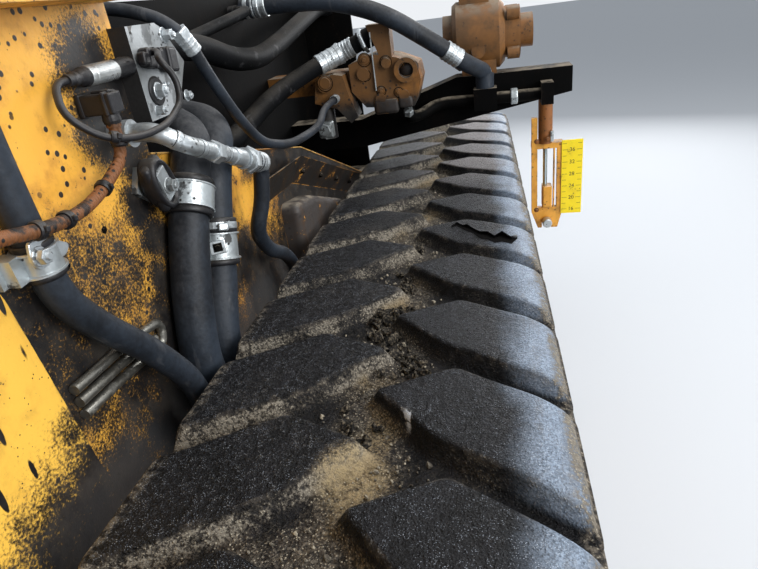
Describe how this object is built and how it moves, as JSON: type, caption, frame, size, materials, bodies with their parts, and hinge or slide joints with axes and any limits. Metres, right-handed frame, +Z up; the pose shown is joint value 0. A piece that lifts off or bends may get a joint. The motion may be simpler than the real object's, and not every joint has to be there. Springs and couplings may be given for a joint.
{
  "type": "asphalt paver rubber track side assembly",
  "caption": "Rubber track undercarriage of an asphalt paver with its chassis side wall: chevron-lug belt, wheels and rollers, clamped hoses, castings and a sliding tow point with a scale.",
  "frame": {"origin": "middle of the footprint, on the ground under the belt", "axes": "+Y is the direction of travel along the belt, +X points outboard away from the machine, +Z is up"},
  "size_m": [0.9836, 3.246, 1.48],
  "materials": {
    "track_rubber": "worn, dusty",
    "roller_rubber": "matte, dusty",
    "hose_rubber": "matte",
    "yellow_paint": "worn gloss",
    "dark_paint": "dusty, matte",
    "scale_paint": "satin",
    "cast_tan": "painted, dusty",
    "zinc_plate": "zinc plated, stained",
    "bare_steel": "bright, stained",
    "aluminium_sleeve": "satin",
    "chrome_rod": "polished",
    "black_plastic": "matte",
    "loom_plastic": "dirty, ribbed"
  },
  "bodies": {
    "root": {"track_belt": "track_rubber", "drive_wheel": "dark_paint", "idler_wheel": "dark_paint", "rollers_rear": "roller_rubber", "rollers_front": "roller_rubber", "bogie_rear": "dark_paint", "bogie_front": "dark_paint", "track_beam": "yellow_paint", "beam_pivot": "yellow_paint", "idler_fork": "dark_paint", "idler_axle": "bare_steel", "tension_cylinder": "dark_paint", "drive_hub_cap": "yellow_paint", "idler_hub_cap": "yellow_paint", "final_drive": "yellow_paint", "travel_motor": "cast_tan", "port_block": "cast_tan", "side_wall": "yellow_paint", "rear_lap_plate": "yellow_paint", "hose_bay": "dark_paint", "guard_plate": "yellow_paint", "round_housing": "dark_paint", "cross_beam": "dark_paint", "bracket_plate": "zinc_plate", "hose_a": "hose_rubber", "hose_b": "hose_rubber", "hose_c": "hose_rubber", "hose_d": "hose_rubber", "hose_e": "hose_rubber", "hose_f": "hose_rubber", "hose_g": "hose_rubber", "hose_h": "hose_rubber", "hose_i": "hose_rubber", "cross_line": "dark_paint", "clamp_a": "zinc_plate", "clamp_b": "zinc_plate", "clamp_c": "zinc_plate", "elbow_tube": "zinc_plate", "steel_tubes": "bare_steel", "sensor_body": "aluminium_sleeve", "sensor_lead": "black_plastic", "harness_loom": "loom_plastic", "loom_connector": "black_plastic", "pump_group": "cast_tan", "valve_block": "cast_tan", "tow_guide": "yellow_paint", "tow_cylinder": "yellow_paint", "tow_scale": "scale_paint"},
    "tow_slide": {"tow_block": "yellow_paint", "tow_rod": "chrome_rod"}
  },
  "joints": [
    {"name": "tow_height", "type": "slide", "parent": "root", "child": "tow_slide", "axis": [0, 0, 1], "range_m": [0, 0.12]}
  ]
}
